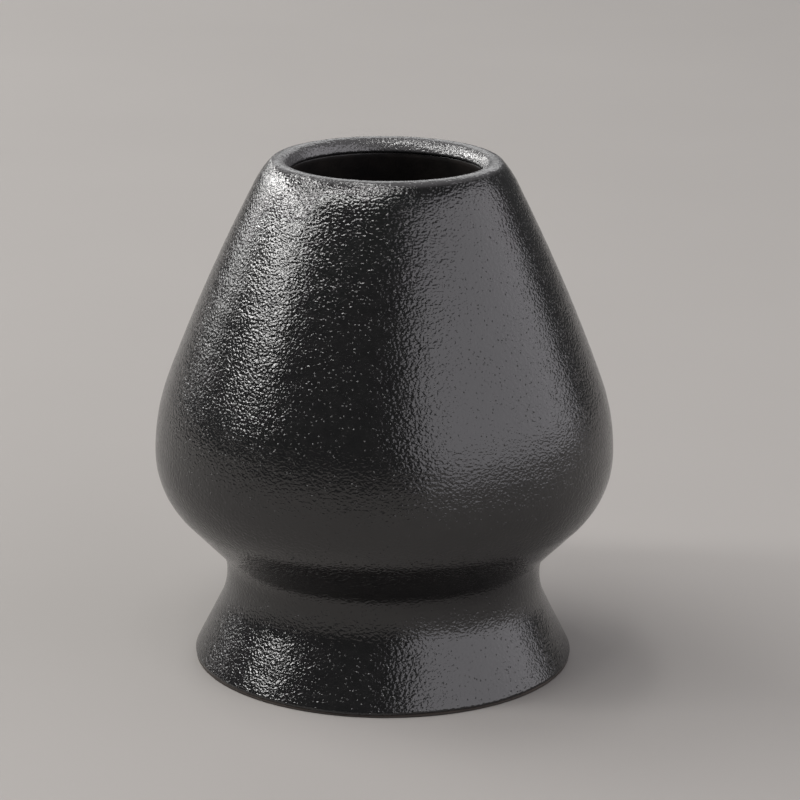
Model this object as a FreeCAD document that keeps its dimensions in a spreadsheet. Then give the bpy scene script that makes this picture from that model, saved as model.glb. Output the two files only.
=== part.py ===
import FreeCAD, Part
import math
import os
import Sketcher

# A tea whisk holder: a hollow stoneware bulb luted onto a hollow, flared foot, with a
# black glaze outside and a smooth one in the well. Every piece is round about Z. The
# origin is the middle of the standing ring, on the surface that the holder stands on,
# and +Z points up through the mouth. Lengths are in millimetres. The outer sizes and
# the walls are taken over the glaze.

os.makedirs("parts", exist_ok=True)
doc = FreeCAD.newDocument("whisk_holder")

sheet = doc.addObject("Spreadsheet::Sheet", "Sizes")
driving_sizes = (
    # The whole vessel
    ("total_height", 72.0, "standing plane to the crest of the lip"),
    ("neck_radius", 22.3, "waist, where bulb and foot meet"),
    ("glaze", 0.4, "thickness of the outer glaze"),
    ("liner", 0.3, "thickness of the glaze in the well"),
    # The bulb's outside, from the waist up
    ("belly_radius", 32.3, "widest place"),
    ("belly_height", 30.4, "standing plane to the widest place"),
    ("waist_arc", 5.0, "hollow curve above the waist"),
    ("under_belly_share", 0.88123, "arcs above the waist, of the largest that fit up to the belly"),
    ("belly_upper_arc", 29.7, "curve above the widest place"),
    ("shoulder_arc", 260.0, "long, nearly straight curve up from there"),
    ("collar_arc", 14.0, "rounder curve below the lip, where the shoulder draws in"),
    ("collar_turn_share", 0.166, "how far the collar turns, of a quarter turn"),
    # The lip and the mouth
    ("throat_radius", 13.5, "narrowest place of the mouth"),
    ("lip_inner_arc", 1.5, "inner rounding of the lip"),
    ("lip_outer_arc", 1.6, "outer rounding of the lip"),
    ("throat_length", 0.1, "straight of the outer glaze below the lip's inner rounding"),
    ("throat_edge_arc", 0.8, "rounding of the clay under the throat"),
    # The well
    ("wall", 3.8, "thickness of the bulb's wall with both glazes"),
    ("floor_thickness", 4.1, "floor of the well, over the middle of the underside"),
    ("vent_radius", 2.5, "hole through the floor of the well"),
    # The join
    ("joint_slip", 0.6, "thickness of the slip between bulb and foot"),
    ("seat_margin", 0.7, "flat of the bulb's seat inside the foot's rim"),
    ("underside_dish", 2.6, "depth of the trimmed hollow in the bulb's underside"),
    # The foot
    ("foot_height", 12.3, "standing plane to the foot's rim"),
    ("foot_wall", 3.6, "thickness of the foot's wall with its glaze"),
    ("foot_flare", 5.0, "waist out to where the glazed flank would meet the standing plane"),
    ("flank_arc", 9.8, "hollow curve below the waist"),
    ("bare_band", 0.05, "unglazed clay above the standing ring's outer rounding"),
    ("ring_outer_arc", 0.15, "outer rounding of the standing ring"),
    ("ring_inner_arc", 0.8, "inner rounding of the standing ring"),
)
for row, (alias, length, meaning) in enumerate(driving_sizes, start=1):
    sheet.set(f"A{row}", meaning)
    sheet.set(f"B{row}", str(length))
    sheet.setAlias(f"B{row}", alias)
doc.recompute()
size = {alias: float(sheet.get(alias)) for alias, length, meaning in driving_sizes}


def polar(centre, radius, angle):
    return (centre[0] + radius * math.cos(angle), centre[1] + radius * math.sin(angle))


def angle_to(start, end):
    return math.atan2(end[1] - start[1], end[0] - start[0])


def corner_of_triangle(first, from_first, second, from_second):
    """The point at two given distances from two points, on the left of the way between them."""
    base = math.dist(first, second)
    along = (base ** 2 + from_first ** 2 - from_second ** 2) / (2 * base)
    return polar(first, from_first, angle_to(first, second) + math.acos(along / from_first))


def origin_plane(body, role):
    return next(feature for feature in body.Origin.OriginFeatures if feature.Role == role)


class Section:
    """The half cross-section of a round piece: x is the radius and y the height.

    Edges are drawn where the sizes put them, then held there by joins and by dimensions
    that are bound to the sheet. They are named, and so are their points, such as
    flank.start. The middle of the standing plane is ground.start.
    """

    POINTS = ("whole", "start", "end", "centre")

    def __init__(self, label):
        self.body = doc.addObject("PartDesign::Body", label)
        self.body.Label = label
        self.sketch = self.body.newObject("Sketcher::SketchObject", f"{label}_section")
        self.sketch.AttachmentSupport = [(origin_plane(self.body, "XZ_Plane"), "")]
        self.sketch.MapMode = "FlatFace"
        self.edges = {"ground": -1, "axis": -2}

    def line(self, name, start, end):
        start = FreeCAD.Vector(*start)
        end = FreeCAD.Vector(*end)
        self.edges[name] = self.sketch.addGeometry(Part.LineSegment(start, end))

    def arc(self, name, centre, radius, from_angle, to_angle):
        circle = Part.Circle(FreeCAD.Vector(*centre), FreeCAD.Vector(0, 0, 1), radius)
        self.edges[name] = self.sketch.addGeometry(Part.ArcOfCircle(circle, from_angle, to_angle))

    def point(self, name, place):
        self.edges[name] = self.sketch.addGeometry(Part.Point(FreeCAD.Vector(*place)), True)

    def parts_of(self, item):
        """An edge, or an edge and the point of it that is meant, or a plain value as it is."""
        if not isinstance(item, str):
            return (item,)
        name, dot, point = item.partition(".")
        return (self.edges[name], self.POINTS.index(point)) if point else (self.edges[name],)

    def hold(self, kind, *items):
        known = [part for item in items for part in self.parts_of(item)]
        return self.sketch.addConstraint(Sketcher.Constraint(kind, *known))

    def bind(self, constraint, expression):
        self.sketch.setExpression(f"Constraints[{constraint}]", expression)

    def place(self, item):
        return self.sketch.getPoint(*self.parts_of(item))

    def meeting_points(self, first, second):
        pairs = [(f"{first}.{one}", f"{second}.{other}")
                 for one in ("start", "end") for other in ("start", "end")]
        return min(pairs, key=lambda pair: self.place(pair[0]).distanceToPoint(self.place(pair[1])))

    def corner(self, *names):
        """Join each edge to the next one."""
        for first, second in zip(names, names[1:]):
            self.hold("Coincident", *self.meeting_points(first, second))

    def smooth(self, *names):
        """Join each edge to the next one without a corner."""
        for first, second in zip(names, names[1:]):
            self.hold("Tangent", *self.meeting_points(first, second))

    def radius(self, name, expression):
        value = self.sketch.Geometry[self.edges[name]].Radius
        self.bind(self.hold("Radius", name, value), expression)

    def turn(self, name, expression):
        """Set how far round its centre an arc goes."""
        edge = self.sketch.Geometry[self.edges[name]]
        self.bind(self.hold("Angle", name, edge.LastParameter - edge.FirstParameter), expression)

    def out(self, point, expression):
        """Set how far a point lies from the axis."""
        self.bind(self.hold("DistanceX", "ground.start", point, self.place(point).x), expression)

    def up(self, point, expression):
        """Set how high a point lies."""
        self.bind(self.hold("DistanceY", "ground.start", point, self.place(point).y), expression)

    def revolve(self):
        doc.recompute()
        turned = self.body.newObject("PartDesign::Revolution", f"{self.body.Label}_turned")
        turned.Profile = self.sketch
        turned.ReferenceAxis = (self.sketch, ["V_Axis"])
        turned.Angle = 360
        doc.recompute()
        return self.body


# The bulb's outline. Clay and glaze follow it at different depths, so their arcs share
# these centres and pass into each other in the same directions. The arcs above and below
# the waist's straight come closest to each other when nothing of it is left between them.
seat_height = size["foot_height"] + size["joint_slip"]
rise = size["belly_height"] - seat_height
swell = size["belly_radius"] - size["neck_radius"]
both_arcs = size["under_belly_share"] * (rise ** 2 + swell ** 2) / (2 * swell)
belly_lower_arc = both_arcs - size["waist_arc"]
lip_radius = size["throat_radius"] + size["lip_inner_arc"]
waist = (size["neck_radius"] + size["waist_arc"], seat_height)
belly_lower = (size["belly_radius"] - belly_lower_arc, size["belly_height"])
belly_upper = (size["belly_radius"] - size["belly_upper_arc"], size["belly_height"])
lip_outer = (lip_radius, size["total_height"] - size["lip_outer_arc"])
lip_inner = (lip_radius, size["total_height"] - size["lip_inner_arc"])
belly_to_shoulder = size["shoulder_arc"] - size["belly_upper_arc"]
under_belly = angle_to(belly_lower, waist) + math.acos(both_arcs / math.dist(belly_lower, waist))

# The collar under the lip turns by a set angle. So the lip's centre lies at a set distance
# from the shoulder's, and at a set angle from the way in which the collar begins.
collar_turn = size["collar_turn_share"] * math.pi / 2
lip_from_shoulder = polar((size["shoulder_arc"] - size["collar_arc"], 0),
                          size["collar_arc"] - size["lip_outer_arc"], collar_turn)
shoulder = corner_of_triangle(belly_upper, belly_to_shoulder, lip_outer, math.hypot(*lip_from_shoulder))
above_belly = angle_to(shoulder, belly_upper)
below_collar = angle_to(shoulder, lip_outer) - angle_to((0, 0), lip_from_shoulder)
below_lip = below_collar + collar_turn
collar = polar(lip_outer, size["lip_outer_arc"] - size["collar_arc"], below_lip)

# The foot's outline. The flank is the tangent from its toe to the hollow curve below the
# waist. It leans out by an angle, which is also the way that it faces.
hollow = (size["neck_radius"] + size["flank_arc"], size["foot_height"])
toe = (size["neck_radius"] + size["foot_flare"], 0)
lean = angle_to(hollow, toe) - math.acos(size["flank_arc"] / math.dist(hollow, toe)) + math.pi
down = lean - math.pi / 2
glaze_edge_height = 2 * size["ring_outer_arc"] + size["bare_band"]

# The well's outline. The outer glaze ends on the throat's straight and the liner begins
# there, where the clay turns out under the throat.
clay_throat = size["throat_radius"] + size["glaze"]
throat_bottom = lip_inner[1] - size["throat_length"] - size["glaze"] - size["liner"]
throat_edge = (clay_throat + size["throat_edge_arc"], throat_bottom)
well_shoulder_arc = size["shoulder_arc"] - size["wall"] + size["liner"]
well_shoulder = corner_of_triangle(belly_upper, belly_to_shoulder,
                                   throat_edge, well_shoulder_arc + size["throat_edge_arc"])
above_well = angle_to(well_shoulder, belly_upper)
under_throat = angle_to(well_shoulder, throat_edge)
well_floor_height = seat_height + size["underside_dish"] + size["floor_thickness"]
bowl_arc = size["belly_height"] - well_floor_height
bowl = (size["belly_radius"] - size["wall"] - bowl_arc, size["belly_height"])

# The same in the sheet's terms
SEAT_HEIGHT = "Sizes.foot_height + Sizes.joint_slip"
BOTH_ARCS = ("Sizes.under_belly_share * ((Sizes.belly_height - Sizes.foot_height - Sizes.joint_slip)^2"
             " + (Sizes.belly_radius - Sizes.neck_radius)^2)"
             " / (2 * (Sizes.belly_radius - Sizes.neck_radius))")
CLAY_THROAT = "Sizes.throat_radius + Sizes.glaze"
THROAT_TOP = "Sizes.total_height - Sizes.lip_inner_arc"
THROAT_BOTTOM = THROAT_TOP + " - Sizes.throat_length - Sizes.glaze - Sizes.liner"
WELL_FLOOR_HEIGHT = SEAT_HEIGHT + " + Sizes.underside_dish + Sizes.floor_thickness"


def draw_outside(section, layer, under=None):
    """The bulb from the waist up over the lip: the glaze's face, or the clay's under the glaze."""
    depth = size.get(under, 0)
    less = f" - Sizes.{under}" if under else ""
    more = f" + Sizes.{under}" if under else ""
    lower_arc = belly_lower_arc - depth
    waist_arc = size["waist_arc"] + depth
    section.arc(f"{layer}_waist", waist, waist_arc, under_belly + math.pi, math.pi)
    section.line(f"{layer}_underside", polar(waist, -waist_arc, under_belly),
                 polar(belly_lower, lower_arc, under_belly))
    section.arc(f"{layer}_belly_lower", belly_lower, lower_arc, under_belly, 0)
    section.arc(f"{layer}_belly_upper", belly_upper, size["belly_upper_arc"] - depth, 0, above_belly)
    section.arc(f"{layer}_shoulder", shoulder, size["shoulder_arc"] - depth, above_belly, below_collar)
    section.arc(f"{layer}_collar", collar, size["collar_arc"] - depth, below_collar, below_lip)
    section.arc(f"{layer}_lip_outer", lip_outer, size["lip_outer_arc"] - depth, below_lip, math.pi / 2)
    section.arc(f"{layer}_lip_inner", lip_inner, size["lip_inner_arc"] - depth, math.pi / 2, math.pi)
    section.smooth(f"{layer}_waist", f"{layer}_underside", f"{layer}_belly_lower", f"{layer}_belly_upper",
                   f"{layer}_shoulder", f"{layer}_collar", f"{layer}_lip_outer", f"{layer}_lip_inner")

    section.hold("Horizontal", f"{layer}_waist.centre", f"{layer}_waist.end")
    section.hold("Horizontal", f"{layer}_belly_lower.centre", f"{layer}_belly_lower.end")
    section.hold("Vertical", f"{layer}_lip_outer.centre", f"{layer}_lip_outer.end")
    section.radius(f"{layer}_waist", "Sizes.waist_arc" + more)
    section.out(f"{layer}_waist.end", "Sizes.neck_radius" + less)
    section.up(f"{layer}_waist.end", SEAT_HEIGHT)
    section.radius(f"{layer}_belly_lower", BOTH_ARCS + " - Sizes.waist_arc" + less)
    section.out(f"{layer}_belly_lower.end", "Sizes.belly_radius" + less)
    section.up(f"{layer}_belly_lower.end", "Sizes.belly_height")
    section.radius(f"{layer}_belly_upper", "Sizes.belly_upper_arc" + less)
    section.radius(f"{layer}_shoulder", "Sizes.shoulder_arc" + less)
    section.radius(f"{layer}_collar", "Sizes.collar_arc" + less)
    section.turn(f"{layer}_collar", "Sizes.collar_turn_share * 90 deg")
    section.radius(f"{layer}_lip_outer", "Sizes.lip_outer_arc" + less)
    section.out(f"{layer}_lip_outer.end", "Sizes.throat_radius + Sizes.lip_inner_arc")
    section.up(f"{layer}_lip_outer.end", "Sizes.total_height" + less)


def draw_well(section, layer, floor_end, under=None):
    """The well from under the throat down to its floor: the liner's face, or the clay's under the liner."""
    depth = size.get(under, 0)
    more = f" + Sizes.{under}" if under else ""
    less = f" - Sizes.{under}" if under else ""
    floor_height = well_floor_height - depth
    bare = size["liner"] - depth
    section.arc(f"{layer}_throat_edge", throat_edge, size["throat_edge_arc"] + bare,
                math.pi, math.pi + under_throat)
    section.arc(f"{layer}_well_shoulder", well_shoulder, well_shoulder_arc - bare, above_well, under_throat)
    section.arc(f"{layer}_well_belly", belly_upper, size["belly_upper_arc"] - size["wall"] + depth,
                0, above_well)
    section.arc(f"{layer}_bowl", bowl, bowl_arc + depth, -math.pi / 2, 0)
    section.line(f"{layer}_floor", (bowl[0], floor_height), (floor_end, floor_height))
    section.smooth(f"{layer}_throat_edge", f"{layer}_well_shoulder", f"{layer}_well_belly",
                   f"{layer}_bowl", f"{layer}_floor")

    section.hold("Horizontal", f"{layer}_throat_edge.centre", f"{layer}_throat_edge.start")
    section.hold("Horizontal", f"{layer}_well_belly.centre", f"{layer}_well_belly.start")
    section.hold("Horizontal", f"{layer}_floor")
    section.radius(f"{layer}_throat_edge", "Sizes.throat_edge_arc" + ("" if under else " + Sizes.liner"))
    section.out(f"{layer}_throat_edge.centre", CLAY_THROAT + " + Sizes.throat_edge_arc")
    section.up(f"{layer}_throat_edge.centre", THROAT_BOTTOM)
    section.radius(f"{layer}_well_shoulder", "Sizes.shoulder_arc - Sizes.wall" + more)
    section.radius(f"{layer}_well_belly", "Sizes.belly_upper_arc - Sizes.wall" + more)
    section.out(f"{layer}_well_belly.start", "Sizes.belly_radius - Sizes.wall" + more)
    section.up(f"{layer}_well_belly.start", "Sizes.belly_height")
    section.up(f"{layer}_floor.start", WELL_FLOOR_HEIGHT + less)


def draw_flank(section, layer, bottom, under=None):
    """The foot from the waist down to a point: the glaze's face, or the clay's under the glaze."""
    depth = size.get(under, 0)
    hollow_arc = size["flank_arc"] + depth
    section.arc(f"{layer}_hollow", hollow, hollow_arc, math.pi, math.pi + lean)
    section.line(f"{layer}_flank", polar(hollow, -hollow_arc, lean), bottom)
    section.smooth(f"{layer}_hollow", f"{layer}_flank")
    section.hold("Horizontal", f"{layer}_hollow.centre", f"{layer}_hollow.start")
    if under:
        section.radius(f"{layer}_hollow", f"Sizes.flank_arc + Sizes.{under}")
        section.bind(section.hold("Distance", "toe.start", f"{layer}_flank", depth), f"Sizes.{under}")
    else:
        section.radius(f"{layer}_hollow", "Sizes.flank_arc")
        section.hold("PointOnObject", "toe.start", f"{layer}_flank")


def draw_toe(section):
    """The point at which the glazed flank would meet the standing plane."""
    section.point("toe", toe)
    section.hold("PointOnObject", "toe.start", "ground")
    section.out("toe.start", "Sizes.neck_radius + Sizes.foot_flare")


def behind_flank(depth, height):
    """The point at a depth behind the glazed flank and at a height above the standing plane."""
    across, along = polar(toe, -depth, lean)
    return (across - (height - along) * math.tan(lean), height)


def build_bulb():
    """The thrown clay bulb: its leaning wall and rolled lip, the well, the seat and the underside."""
    section = Section("bulb")
    seat_inner = size["neck_radius"] - size["foot_wall"] - size["seat_margin"]
    seat_outer = size["neck_radius"] - size["glaze"]
    dish_height = seat_height + size["underside_dish"]
    dish_arc = (seat_inner ** 2 + size["underside_dish"] ** 2) / (2 * size["underside_dish"])
    dish = (0, dish_height - dish_arc)

    section.line("seat", (seat_inner, seat_height), (seat_outer, seat_height))
    draw_outside(section, "clay", "glaze")
    section.line("throat", (clay_throat, lip_inner[1]), (clay_throat, throat_bottom))
    draw_well(section, "clay", 0, "liner")
    section.line("middle", (0, well_floor_height - size["liner"]), (0, dish_height))
    section.arc("dish", dish, dish_arc, angle_to(dish, (seat_inner, seat_height)), math.pi / 2)
    section.corner("seat", "clay_waist")
    section.smooth("clay_lip_inner", "throat", "clay_throat_edge")
    section.corner("clay_floor", "middle", "dish", "seat")

    section.hold("Horizontal", "seat")
    section.hold("Vertical", "middle")
    section.hold("PointOnObject", "middle.start", "axis")
    section.hold("PointOnObject", "dish.centre", "axis")
    section.out("seat.start", "Sizes.neck_radius - Sizes.foot_wall - Sizes.seat_margin")
    section.up("middle.end", SEAT_HEIGHT + " + Sizes.underside_dish")
    section.revolve()
    pierce_vent(section.body)
    return section.body


def pierce_vent(body):
    """The hole through the floor of the well, cut from below along the axis."""
    circle = body.newObject("Sketcher::SketchObject", "vent_circle")
    circle.AttachmentSupport = [(origin_plane(body, "XY_Plane"), "")]
    circle.MapMode = "FlatFace"
    circle.addGeometry(Part.Circle(FreeCAD.Vector(), FreeCAD.Vector(0, 0, 1), size["vent_radius"]))
    circle.addConstraint(Sketcher.Constraint("Coincident", 0, Section.POINTS.index("centre"), -1, 1))
    width = circle.addConstraint(Sketcher.Constraint("Radius", 0, size["vent_radius"]))
    circle.setExpression(f"Constraints[{width}]", "Sizes.vent_radius")
    doc.recompute()
    solid_volume = body.Shape.Volume

    vent = body.newObject("PartDesign::Pocket", "vent")
    vent.Profile = circle
    vent.Type = "Length"
    vent.Reversed = True
    vent.setExpression("Length", "Sizes.belly_height")
    doc.recompute()
    if body.Shape.Volume >= solid_volume:
        raise RuntimeError("the vent cuts nothing")


def build_foot():
    """The flared clay foot: a hollow ring of even wall, which stands on a rounded flat edge."""
    section = Section("foot")
    rim_inner = size["neck_radius"] - size["foot_wall"]
    rim_outer = size["neck_radius"] - size["glaze"]
    inner_arc = size["flank_arc"] + size["foot_wall"]
    ring_outer = behind_flank(size["glaze"] + size["ring_outer_arc"], size["ring_outer_arc"])
    ring_inner = behind_flank(size["foot_wall"] - size["ring_inner_arc"], size["ring_inner_arc"])

    draw_toe(section)
    section.line("rim", (rim_inner, size["foot_height"]), (rim_outer, size["foot_height"]))
    draw_flank(section, "clay", polar(ring_outer, size["ring_outer_arc"], lean), "glaze")
    section.arc("ring_outer", ring_outer, size["ring_outer_arc"], -math.pi / 2, lean)
    section.line("standing_ring", (ring_outer[0], 0), (ring_inner[0], 0))
    section.arc("ring_inner", ring_inner, size["ring_inner_arc"], math.pi + lean, 3 * math.pi / 2)
    section.line("inner_flank", polar(ring_inner, -size["ring_inner_arc"], lean),
                 polar(hollow, -inner_arc, lean))
    section.arc("inner_hollow", hollow, inner_arc, math.pi, math.pi + lean)
    section.corner("rim", "clay_hollow")
    section.smooth("clay_flank", "ring_outer", "standing_ring", "ring_inner", "inner_flank", "inner_hollow")
    section.corner("inner_hollow", "rim")

    section.hold("Horizontal", "rim")
    section.hold("Horizontal", "standing_ring")
    section.hold("PointOnObject", "standing_ring.start", "ground")
    section.hold("Parallel", "clay_flank", "inner_flank")
    section.hold("Coincident", "inner_hollow.centre", "clay_hollow.centre")
    section.up("rim.end", "Sizes.foot_height")
    section.out("rim.end", "Sizes.neck_radius - Sizes.glaze")
    section.radius("ring_outer", "Sizes.ring_outer_arc")
    section.radius("ring_inner", "Sizes.ring_inner_arc")
    section.radius("inner_hollow", "Sizes.flank_arc + Sizes.foot_wall")
    return section.revolve()


def build_joining_slip():
    """The slip that lutes the foot's rim to the bulb's seat, with a squeezed-out bead inside."""
    section = Section("joining_slip")
    rim_inner = size["neck_radius"] - size["foot_wall"]
    rim_outer = size["neck_radius"] - size["glaze"]
    bead = size["joint_slip"] / 2
    section.line("lower_face", (rim_inner, size["foot_height"]), (rim_outer, size["foot_height"]))
    section.line("outer_face", (rim_outer, size["foot_height"]), (rim_outer, seat_height))
    section.line("upper_face", (rim_outer, seat_height), (rim_inner, seat_height))
    section.arc("bead", (rim_inner, seat_height - bead), bead, math.pi / 2, 3 * math.pi / 2)
    section.corner("lower_face", "outer_face", "upper_face")
    section.smooth("upper_face", "bead", "lower_face")
    section.hold("Horizontal", "lower_face")
    section.hold("Vertical", "outer_face")
    section.hold("Horizontal", "upper_face")
    section.up("lower_face.end", "Sizes.foot_height")
    section.up("upper_face.start", SEAT_HEIGHT)
    section.out("lower_face.end", "Sizes.neck_radius - Sizes.glaze")
    section.out("lower_face.start", "Sizes.neck_radius - Sizes.foot_wall")
    return section.revolve()


def build_outer_glaze():
    """The black glaze: one coat from a bead above the standing ring up over the lip into the throat."""
    section = Section("outer_glaze")
    clay_neck = size["neck_radius"] - size["glaze"]

    # Down the foot, to a bead that is a quarter round about a point on the clay
    bead = behind_flank(size["glaze"], glaze_edge_height + size["glaze"] * math.cos(lean))
    draw_toe(section)
    draw_flank(section, "coat", polar(bead, size["glaze"], lean))
    draw_flank(section, "clay", polar(bead, size["glaze"], down), "glaze")
    section.arc("lower_bead", bead, size["glaze"], down, lean)
    section.smooth("coat_flank", "lower_bead")
    section.corner("lower_bead", "clay_flank")
    section.radius("lower_bead", "Sizes.glaze")
    section.up("clay_flank.end", "2 * Sizes.ring_outer_arc + Sizes.bare_band")

    # Past the waist and over the bulb
    section.line("coat_neck", (size["neck_radius"], size["foot_height"]), (size["neck_radius"], seat_height))
    section.line("clay_neck", (clay_neck, size["foot_height"]), (clay_neck, seat_height))
    draw_outside(section, "coat")
    draw_outside(section, "clay", "glaze")
    for layer in ("coat", "clay"):
        section.corner(f"{layer}_hollow", f"{layer}_neck", f"{layer}_waist")
        section.hold("Vertical", f"{layer}_neck")
        section.up(f"{layer}_hollow.start", "Sizes.foot_height")

    # Into the throat, to another such bead
    bead = (clay_throat, throat_bottom + size["liner"] + size["glaze"])
    section.line("coat_throat", (size["throat_radius"], lip_inner[1]), (size["throat_radius"], bead[1]))
    section.line("clay_throat", (clay_throat, lip_inner[1]), (clay_throat, bead[1] - size["glaze"]))
    section.arc("upper_bead", bead, size["glaze"], math.pi, 3 * math.pi / 2)
    section.smooth("coat_lip_inner", "coat_throat", "upper_bead")
    section.corner("upper_bead", "clay_throat")
    section.smooth("clay_throat", "clay_lip_inner")
    section.hold("Vertical", "coat_throat")
    section.hold("Vertical", "clay_throat")
    section.out("coat_throat.start", "Sizes.throat_radius")
    section.out("clay_throat.start", CLAY_THROAT)
    section.up("coat_throat.end", THROAT_TOP + " - Sizes.throat_length")
    section.radius("upper_bead", "Sizes.glaze")
    return section.revolve()


def build_liner_glaze():
    """The smooth glaze of the well, from the outer glaze's upper bead down to the rim of the vent."""
    section = Section("liner_glaze")
    liner = size["liner"]
    vent_bead = (size["vent_radius"] + liner, well_floor_height - liner)
    draw_well(section, "coat", vent_bead[0])
    draw_well(section, "clay", size["vent_radius"], "liner")
    section.line("clay_throat", (clay_throat, throat_bottom + liner), (clay_throat, throat_bottom))
    section.arc("top_bead", (clay_throat, throat_bottom), liner, math.pi / 2, math.pi)
    section.arc("vent_bead", vent_bead, liner, math.pi / 2, math.pi)
    section.smooth("top_bead", "coat_throat_edge")
    section.smooth("clay_throat", "clay_throat_edge")
    section.corner("top_bead", "clay_throat")
    section.smooth("coat_floor", "vent_bead")
    section.corner("vent_bead", "clay_floor")
    section.radius("top_bead", "Sizes.liner")
    section.radius("vent_bead", "Sizes.liner")
    section.out("clay_floor.end", "Sizes.vent_radius")
    return section.revolve()


pieces = (build_bulb(), build_foot(), build_joining_slip(), build_outer_glaze(), build_liner_glaze())
doc.recompute()

for item in doc.Objects:
    if "Invalid" in item.State or "Error" in item.State:
        raise RuntimeError(f"{item.Label} did not recompute: {item.State}")
    if item.isDerivedFrom("Sketcher::SketchObject") and (item.solve() != 0 or not item.FullyConstrained):
        raise RuntimeError(f"{item.Label} is not solved, or something in it is free")
for piece in pieces:
    if piece.Shape.isNull() or not piece.Shape.isValid() or len(piece.Shape.Solids) != 1:
        raise RuntimeError(f"{piece.Label} is not one valid solid")

for piece in pieces:
    piece.Shape.exportStep(f"parts/{piece.Label}.step")
    print(f"{piece.Label}: volume {piece.Shape.Volume:.1f}")
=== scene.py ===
import bmesh
import bpy
import math
from mathutils import Matrix, Quaternion, Vector, noise


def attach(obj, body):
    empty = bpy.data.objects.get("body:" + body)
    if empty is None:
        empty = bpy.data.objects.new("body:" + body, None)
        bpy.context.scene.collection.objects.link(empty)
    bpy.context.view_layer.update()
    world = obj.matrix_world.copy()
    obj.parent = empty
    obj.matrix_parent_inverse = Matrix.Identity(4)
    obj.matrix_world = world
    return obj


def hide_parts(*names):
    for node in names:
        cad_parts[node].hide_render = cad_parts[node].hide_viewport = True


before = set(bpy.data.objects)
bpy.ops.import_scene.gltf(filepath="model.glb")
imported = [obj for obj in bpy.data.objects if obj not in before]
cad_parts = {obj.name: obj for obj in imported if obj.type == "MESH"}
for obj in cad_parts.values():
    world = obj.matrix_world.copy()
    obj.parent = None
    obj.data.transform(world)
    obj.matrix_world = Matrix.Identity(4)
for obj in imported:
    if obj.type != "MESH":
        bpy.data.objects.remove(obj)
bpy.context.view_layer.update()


# Foot
#
# The flared foot of dark stoneware: thrown, trimmed hollow inside and left bare there and
# on the ring that it stands on. Its outside lies under the black glaze.

MM = 0.001


class Section:
    """Half of a round piece's cross-section, drawn in one go, in millimetres.

    A single point is led round the section. It starts at a radius and a height, heading
    at an angle above straight outwards, and keeps the clay on its left. The spacing is
    about how far apart it leaves points.
    """

    widest_step = 0.2
    shut_within = 0.02

    def __init__(self, out, up, heading, spacing):
        self.bm = bmesh.new()
        self.tip = self.bm.verts.new((out * MM, 0, up * MM))
        self.heading = math.radians(heading)
        self.spacing = spacing * MM

    def straight(self, length):
        length = length * MM
        steps = max(1, round(length / self.spacing))
        along = Vector((math.cos(self.heading), 0, math.sin(self.heading)))
        for step in range(steps):
            fresh = bmesh.ops.extrude_vert_indiv(self.bm, verts=[self.tip])["verts"]
            bmesh.ops.translate(self.bm, verts=fresh, vec=along * (length / steps))
            self.tip = fresh[0]

    def curve(self, radius, degrees):
        """Turn left by an angle, or right by a negative one, at a radius."""
        turn = math.radians(degrees)
        side = math.copysign(math.pi / 2, turn) + self.heading
        centre = self.tip.co + Vector((math.cos(side), 0, math.sin(side))) * (radius * MM)
        steps = max(2, math.ceil(abs(turn) / self.widest_step),
                    round(abs(turn) * radius * MM / self.spacing))
        swept = bmesh.ops.spin(self.bm, geom=[self.tip], cent=centre, axis=(0, -1, 0),
                               angle=turn, steps=steps)["geom_last"]
        self.tip = next(item for item in swept if isinstance(item, bmesh.types.BMVert))
        self.heading += turn

    def corner(self, degrees):
        self.heading += math.radians(degrees)

    def turned(self, name, around=288):
        """Close the section and turn it about the middle into a solid ring, as a new object."""
        bm = self.bm
        bmesh.ops.remove_doubles(bm, verts=bm.verts, dist=self.shut_within * MM)
        bmesh.ops.spin(bm, geom=bm.verts[:] + bm.edges[:], cent=(0, 0, 0), axis=(0, 0, 1),
                       angle=2 * math.pi, steps=around, use_merge=True)
        bmesh.ops.recalc_face_normals(bm, faces=bm.faces)
        for face in bm.faces:
            face.smooth = True
        mesh = bpy.data.meshes.new(name)
        bm.to_mesh(mesh)
        bm.free()
        piece = bpy.data.objects.new(name, mesh)
        bpy.context.collection.objects.link(piece)
        return piece


class Level:
    """A number that varies over a surface, with which sums can be written."""

    def __init__(self, finish, socket):
        self.finish = finish
        self.socket = socket

    def sum(self, operation, first, second):
        return self.finish.node("ShaderNodeMath", {"operation": operation}, {0: first, 1: second})

    def __add__(self, other):
        return self.sum("ADD", self, other)

    def __radd__(self, other):
        return self.sum("ADD", other, self)

    def __sub__(self, other):
        return self.sum("SUBTRACT", self, other)

    def __rsub__(self, other):
        return self.sum("SUBTRACT", other, self)

    def __mul__(self, other):
        return self.sum("MULTIPLY", self, other)

    def __rmul__(self, other):
        return self.sum("MULTIPLY", other, self)

    def between(self, low, high):
        """How far the number is from one value to another, from 0 to 1, eased at both ends."""
        return self.finish.node("ShaderNodeMapRange", {"interpolation_type": "SMOOTHSTEP"},
                                {"Value": self, "From Min": low, "From Max": high})


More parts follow.
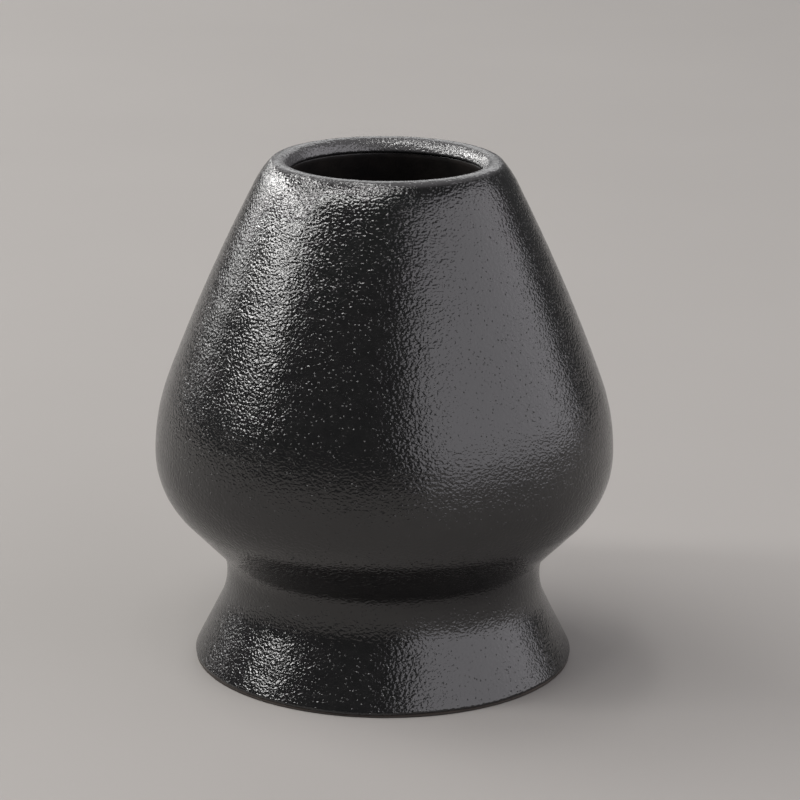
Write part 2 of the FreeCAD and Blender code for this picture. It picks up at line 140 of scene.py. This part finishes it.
class Finish:
    """A material: its one shader, how glossy that is, and the nodes that vary over a piece."""

    def __init__(self, name, gloss):
        self.material = bpy.data.materials.new(name)
        self.material.use_nodes = True
        self.tree = self.material.node_tree
        self.shader = next(node for node in self.tree.nodes if node.type == "BSDF_PRINCIPLED")
        self.shader.inputs["Specular IOR Level"].default_value = gloss
        place = self.node("ShaderNodeTexCoord", {}, {}, "Object")
        self.place = self.stretched(place, (1 / MM, 1 / MM, 1 / MM))

    def node(self, kind, settings, inputs, output=0):
        """Add a node, with its settings and then the values or links of its sockets."""
        node = self.tree.nodes.new(kind)
        for setting, value in settings.items():
            setattr(node, setting, value)
        for socket, value in inputs.items():
            if isinstance(value, Level):
                self.tree.links.new(value.socket, node.inputs[socket])
            else:
                node.inputs[socket].default_value = value
        return Level(self, node.outputs[output])

    def stretched(self, place, scale):
        return self.node("ShaderNodeVectorMath", {"operation": "MULTIPLY"}, {0: place, 1: scale})

    def mottle(self, scale, detail, roughness=0.5, stretch=(1, 1, 1), distortion=0.0):
        """Soft random patches, with so many to the millimetre."""
        place = self.stretched(self.place, stretch)
        return self.node("ShaderNodeTexNoise", {},
                         {"Vector": place, "Scale": scale, "Detail": detail,
                          "Roughness": roughness, "Distortion": distortion}, "Fac")

    def cells(self, scale, stretch=(1, 1, 1), smoothness=0.0):
        """The distance from the middle of the nearest of many round cells."""
        place = self.stretched(self.place, stretch)
        return self.node("ShaderNodeTexVoronoi", {"feature": "SMOOTH_F1"},
                         {"Vector": place, "Scale": scale, "Smoothness": smoothness}, "Distance")

    def height(self):
        """How high a point of the piece lies, in millimetres."""
        return self.node("ShaderNodeSeparateXYZ", {}, {0: self.place}, "Z")

    def out(self):
        """How far a point of the piece lies from the middle, in millimetres."""
        flat = self.stretched(self.place, (1, 1, 0))
        return self.node("ShaderNodeVectorMath", {"operation": "LENGTH"}, {0: flat}, "Value")

    def blend(self, share, first, second):
        """A share of the way from one colour to another. Sockets 6, 7 and 2 are the colours."""
        return self.node("ShaderNodeMix", {"data_type": "RGBA"}, {0: share, 6: first, 7: second}, 2)

    def colour(self, level):
        self.tree.links.new(level.socket, self.shader.inputs["Base Color"])

    def dullness(self, level):
        self.tree.links.new(level.socket, self.shader.inputs["Roughness"])

    def relief(self, height, depth):
        """Raise the surface by a height that varies, taken times a depth in millimetres."""
        bump = self.node("ShaderNodeBump", {},
                         {"Strength": 1.0, "Distance": depth * MM, "Height": height})
        self.tree.links.new(bump.socket, self.shader.inputs["Normal"])


def clay_finish(name, ring_shade):
    """Bare dark stoneware, fired matt: fine sand, iron specks and the rings that trimming leaves.

    The ring shade, from 0 to 1, is how strongly painted shade darkens the lowest half millimetre,
    where the ring stands on the floor.
    """
    dark_clay = (0.052, 0.041, 0.034, 1)
    light_clay = (0.085, 0.069, 0.058, 1)
    iron = (0.016, 0.012, 0.010, 1)
    pale_grog = (0.20, 0.17, 0.145, 1)
    shaded_clay = (0.035, 0.030, 0.027, 1)
    sand_depth = 0.07
    finish = Finish(name, gloss=0.35)
    sand = finish.mottle(9.0, 3.0, 0.65)
    tone = finish.mottle(0.25, 3.0, 0.55)
    body = finish.blend(tone.between(0.3, 0.7), dark_clay, light_clay)
    speck = finish.cells(1.1)
    body = finish.blend(speck.between(0.16, 0.09), body, iron)
    grog = finish.mottle(3.4, 1.0)
    body = finish.blend(grog.between(0.68, 0.76) * 0.55, body, pale_grog)
    # Painted shade: the bare clay darkens towards the standing edge, over the lowest half
    # millimetre, as if in shadow where it meets the floor.
    painted_shade = finish.height().between(0.55, 0.05) * ring_shade
    finish.colour(finish.blend(painted_shade, body, shaded_clay))
    finish.dullness(0.78 + sand * 0.2)
    trim = finish.mottle(1.0, 2.0, 0.6, stretch=(0.06, 0.06, 2.6))
    finish.relief(sand * 0.5 + trim * 0.9 + grog * 0.35, sand_depth)
    return finish.material


lean = 26.604
foot_wall = 3.2
outer_flank = 8.405
inner_flank = 6.550
waist_curve = 10.2
standing_width = 2.842
inner_round = 0.8
outer_round = 0.15
foot = Section(out=26.744, up=0.217, heading=90 + lean, spacing=0.6)
foot.straight(outer_flank)
foot.curve(waist_curve, -lean)
foot.corner(90)
foot.straight(foot_wall)
foot.corner(90)
foot.curve(waist_curve + foot_wall, lean)
foot.straight(inner_flank)
foot.curve(inner_round, 90 - lean)
foot.straight(standing_width)
foot.curve(outer_round, 90 + lean)
foot = foot.turned("clay_foot")
foot.data.materials.append(clay_finish("bare_stoneware_foot", ring_shade=1.0))
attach(foot, "root")
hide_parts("foot")


# Joining slip
#
# Wet clay that luted the foot to the bulb. Only its squeezed-out bead shows, as a soft
# ridge round the inside of the foot.

seat_out = 21.9
slip_bottom = 12.3
slip_depth = 0.6
slip = Section(out=seat_out, up=slip_bottom, heading=90, spacing=0.5)
slip.straight(slip_depth)
slip.corner(90)
slip.straight(foot_wall)
slip.curve(slip_depth / 2, 180)
slip.straight(foot_wall)
slip = slip.turned("slip_bead")
slip.data.materials.append(clay_finish("fired_slip", ring_shade=0.0))
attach(slip, "root")
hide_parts("joining_slip")


# Bulb
#
# The thrown stoneware bulb. Glaze hides it but for the trimmed hollow of its underside,
# inside the foot, and the wall of the vent through its floor.

# An arc is its radius and the angle that it turns by. From the waist up, the outside has a
# hollow arc, a straight flank, the lower belly, the belly, the shoulder, the collar and the lip.
waist_top = 5.4
waist_turn = 44.495
bulb_flank = 6.947
belly_arcs = [(12.5, 44.495), (29.3, 20.3893), (259.6, 6.6777)]
lip_arcs = [(13.6, 14.94), (1.2, 47.9929)]
lip_roll = 1.1
throat_depth = 0.8

# Inside, it goes down below the throat along the wall and the round of the well to its floor.
well_arcs = [(0.8, 27.4797), (256.5, -7.3049), (26.2, -20.1748), (11.1, -90)]
well_floor = 15.2

# Underneath, the hollow is a shallow dome between the vent and the seat for the foot.
vent_depth = 3.849
dome_radius = 63.608
dome_slope = 2.2525
dome_turn = 14.1859
seat_width = 3.9

bulb = Section(out=seat_out, up=slip_bottom + slip_depth, heading=90, spacing=1.6)
bulb.curve(waist_top, -waist_turn)
bulb.straight(bulb_flank)
for radius, turn in belly_arcs + lip_arcs:
    bulb.curve(radius, turn)
bulb.curve(lip_roll, 90)
bulb.straight(throat_depth)
for radius, turn in well_arcs:
    bulb.curve(radius, turn)
bulb.straight(well_floor)
bulb.corner(90)
bulb.spacing = 0.5 * MM
bulb.straight(vent_depth)
bulb.corner(90 - dome_slope)
bulb.curve(dome_radius, -dome_turn)
bulb.corner(dome_slope + dome_turn)
bulb.straight(seat_width)
bulb = bulb.turned("clay_bulb")
bulb.data.materials.append(clay_finish("bare_stoneware_bulb", ring_shade=0.0))
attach(bulb, "root")
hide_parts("bulb")


# Well glaze
#
# The smooth dark glaze poured into the well. It lines the wall and the floor, from under
# the lip's roll down to a bead round the vent.

liner_depth = 0.3
liner = Section(out=13.9, up=70.0, heading=180, spacing=0.8)
liner.curve(liner_depth, 90)
for radius, turn in well_arcs:
    liner.curve(radius + math.copysign(liner_depth, turn), turn)
liner.straight(well_floor - liner_depth)
liner.curve(liner_depth, 90)

# The side on the clay is hidden, so it has fewer points.
liner.corner(90)
liner.spacing = 2.4 * MM
liner.straight(well_floor)
for radius, turn in reversed(well_arcs):
    liner.curve(radius, -turn)
liner.straight(liner_depth)
liner = liner.turned("well_glaze")

thin_pour = (0.030, 0.026, 0.024, 1)
thick_pour = (0.016, 0.015, 0.015, 1)
ripple_depth = 0.06
poured = Finish("smooth_well_glaze", gloss=0.4)
thick = poured.mottle(0.16, 3.0, 0.55)
ripple = poured.mottle(0.9, 2.0, 0.5)
poured.colour(poured.blend(thick.between(0.35, 0.65), thin_pour, thick_pour))
poured.dullness(0.34 + ripple * 0.14)
poured.relief(ripple + poured.mottle(3.2, 1.0) * 0.25, ripple_depth)
liner.data.materials.append(poured.material)
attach(liner, "root")
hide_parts("liner_glaze")


# Outer glaze
#
# One coat of charcoal black glaze from a bead above the standing ring over the foot, the
# waist, the bulb and the lip into the throat. It dried in fine leathery wrinkles.

coat_depth = 0.4
coat_flank = 7.856
coat = Section(out=26.677, up=0.35, heading=lean, spacing=0.6)
coat.curve(coat_depth, 90)
coat.straight(coat_flank)
coat.curve(waist_curve - coat_depth, -lean)
coat.straight(slip_depth)
coat.curve(waist_top - coat_depth, -waist_turn)
coat.straight(bulb_flank)
for radius, turn in belly_arcs:
    coat.curve(radius + coat_depth, turn)
coat.spacing = 0.3 * MM
for radius, turn in lip_arcs:
    coat.curve(radius + coat_depth, turn)
coat.curve(lip_roll + coat_depth, 50)

# Inside the lip it slopes into the throat, and it ends in a bead on the well glaze.
coat.curve(2.6, 16)
coat.straight(0.45)
coat.curve(coat_depth, 114)
coat.straight(0.251)

# Its hidden side goes back down over the clay.
coat.corner(90)
coat.spacing = 2.4 * MM
coat.straight(0.624)
coat.curve(lip_roll, -90)
for radius, turn in reversed(belly_arcs + lip_arcs):
    coat.curve(radius, -turn)
coat.straight(bulb_flank)
coat.curve(waist_top, waist_turn)
coat.straight(slip_depth)
coat.curve(waist_curve, lean)
coat.straight(coat_flank + coat_depth)
coat = coat.turned("black_coat", around=400)

# The hand-thrown clay under it is never quite even: it dips in broad swells, close swells and
# throwing rings. The coat's lower edge wavers a little up and down the foot.
dip_depth = 0.05
broad_scale = 0.11
close_scale = 0.42
close_shift = Vector((7, 3, 5))
ring_scale = 2.2
edge_waver = 0.12
waver_scale = 2.3
waver_top = 3.4
waver_fade = 2.2
down_the_foot = Vector((math.sin(math.radians(lean)), 0, -math.cos(math.radians(lean))))
moves = []
for vertex in coat.data.vertices:
    place = vertex.co / MM
    broad = noise.noise(place * broad_scale)
    close = noise.noise(place * close_scale + close_shift)
    rings = math.sin(place.z * ring_scale + 2.5 * broad)
    dip = 0.5 + 0.28 * broad + 0.34 * close + 0.12 * rings
    move = vertex.normal * (-dip_depth * min(max(dip, 0), 1))
    near_edge = min(max((waver_top - place.z) / waver_fade, 0), 1)
    if near_edge:
        round_foot = Matrix.Rotation(math.atan2(place.y, place.x), 3, "Z")
        level = Vector((place.x, place.y, 0)).normalized() * waver_scale
        move += round_foot @ down_the_foot * (edge_waver * near_edge ** 2 * noise.noise(level))
    moves.append(move * MM)
for vertex, move in zip(coat.data.vertices, moves):
    vertex.co += move

deep_black = (0.0035, 0.0035, 0.0038, 1)
worn_black = (0.0065, 0.0063, 0.0066, 1)
thin_grey_and_sheen = (0.090, 0.088, 0.090, 1)
grain_depth = 0.072
black = Finish("leathery_black_glaze", gloss=0.82)
leather = black.mottle(2.3, 1.3, 0.42, stretch=(1, 1, 1.25), distortion=0.4)
pebble = black.cells(2.3, stretch=(1, 1, 1.2), smoothness=0.5)
pimple = black.cells(1.5).between(0.2, 0.04)
drag = black.mottle(1.0, 2.0, 0.55, stretch=(0.12, 0.12, 4.2))
patchy = black.mottle(0.13, 2.0, 0.5)
throat = black.out().between(15.2, 13.8) * black.height().between(69.0, 71.2)
rough = (0.7 + patchy * 0.6) * (1 + throat * 0.5)
tone = black.mottle(0.7, 3.0, 0.6)
charcoal = black.blend(tone.between(0.3, 0.7), deep_black, worn_black)

# It runs thin, and fires greyer, on the crest of the lip and on the slope inside it; the grey there
# is lighter than thin glaze alone, as a painted sheen.
inside = black.out().between(14.7, 14.0) * black.height().between(69.9, 70.7)
crest = black.height().between(71.1, 71.8)
thin_and_sheen = (inside + crest * (1 - inside)) * 0.9
black.colour(black.blend(thin_and_sheen, charcoal, thin_grey_and_sheen))
black.dullness(0.10 + tone * 0.08)
black.relief((leather - pebble * 0.5 + drag * 0.16) * rough + pimple * 0.65, grain_depth)
coat.data.materials.append(black.material)
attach(coat, "root")
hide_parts("outer_glaze")


# Studio
#
# A plain pale floor and soft light: a wide soft box on the right, thin bright strips on the
# left and overhead that the grains of the glaze pick up, and a soft lamp behind for the lip.

plain = bmesh.new()
bmesh.ops.create_circle(plain, cap_ends=True, segments=96, radius=4.0)
floor_mesh = bpy.data.meshes.new("floor")
plain.to_mesh(floor_mesh)
plain.free()
floor = bpy.data.objects.new("floor", floor_mesh)
bpy.context.collection.objects.link(floor)
warm_grey = (0.335, 0.318, 0.305, 1)
light_grey = (0.37, 0.352, 0.338, 1)
pale = Finish("pale_floor", gloss=0.2)
cloud = pale.mottle(0.006, 3.0, 0.6)
pale.colour(pale.blend(cloud, warm_grey, light_grey))
pale.dullness(0.8 + cloud * 0.1)
floor.data.materials.append(pale.material)

white = (1.0, 1.0, 1.0)
warm_white = (1.0, 0.99, 0.975)
cool_white = (0.98, 0.95, 1.0)
mid_height = Vector((0, 0, 0.036))


def lamp(name, azimuth, elevation, width, height, radiance, colour, roll=0, distance=1.20):
    """An area lamp aimed at the object, turned by a roll about its own line of aim.

    Azimuth 0 is the camera's side, 90 the right and -90 the left. The radiance says how
    bright its face is.
    """
    across = math.radians(azimuth)
    above = math.radians(elevation)
    level = math.cos(above)
    away = Vector((math.sin(across) * level, -math.cos(across) * level, math.sin(above)))
    light = bpy.data.lights.new(name, "AREA")
    light.shape = "RECTANGLE"
    light.size = width
    light.size_y = height
    light.energy = radiance * math.pi * width * height
    light.color = colour
    holder = bpy.data.objects.new(name, light)
    holder.location = mid_height + away * distance
    tilt = Quaternion((0, 0, 1), math.radians(roll))
    holder.rotation_euler = (away.to_track_quat("Z", "Y") @ tilt).to_euler()
    holder.visible_camera = False
    bpy.context.collection.objects.link(holder)


lamp("soft_box_right", 67, 23, 2.36, 0.94, 1.46, cool_white, distance=1.10)
lamp("strip_left", -106, 27, 1.38, 0.14, 14.0, warm_white, roll=6)
lamp("strip_low", -140, 12, 1.05, 0.12, 4.8, warm_white)
lamp("strip_high", -112, 47, 0.85, 0.10, 11.5, warm_white, roll=4)
lamp("strip_above", -55, 54, 1.05, 0.15, 12.8, warm_white, roll=38)
lamp("top_lamp", 0, 72, 0.40, 0.09, 11.8, warm_white)
lamp("lip_lamp", -125, 77, 0.46, 0.13, 7.4, warm_white, roll=30)
lamp("back_lamp", 176, 32, 1.00, 0.80, 1.26, white, distance=1.25)

room_light = (0.11, 0.11, 0.11, 1)
world = bpy.data.worlds.new("studio")
bpy.context.scene.world = world
world.use_nodes = True
world.node_tree.nodes["Background"].inputs["Color"].default_value = room_light
world.node_tree.nodes["Background"].inputs["Strength"].default_value = 1.0


# Camera
#
# It stands a little under 0.45 m away with a long lens and looks down at the holder by
# about 16 degrees. It is tilted sideways by less than half a degree.

camera_data = bpy.data.cameras.new("camera")
camera_data.sensor_width = 36
camera_data.lens = 142.8
camera_data.shift_x = 0.0192
camera_data.shift_y = 0.0075
camera_data.clip_start = 0.01
camera = bpy.data.objects.new("camera", camera_data)
camera_place = Vector((0, -0.4288, 0.16206))
towards = Vector((0, 0, 0.0364)) - camera_place
sideways_tilt = Matrix.Rotation(math.radians(0.44), 3, "Z")
aim = towards.to_track_quat("-Z", "Y").to_matrix() @ sideways_tilt
camera.matrix_world = Matrix.Translation(camera_place) @ aim.to_4x4()
bpy.context.collection.objects.link(camera)
bpy.context.scene.camera = camera
bpy.context.scene.view_settings.view_transform = "Standard"
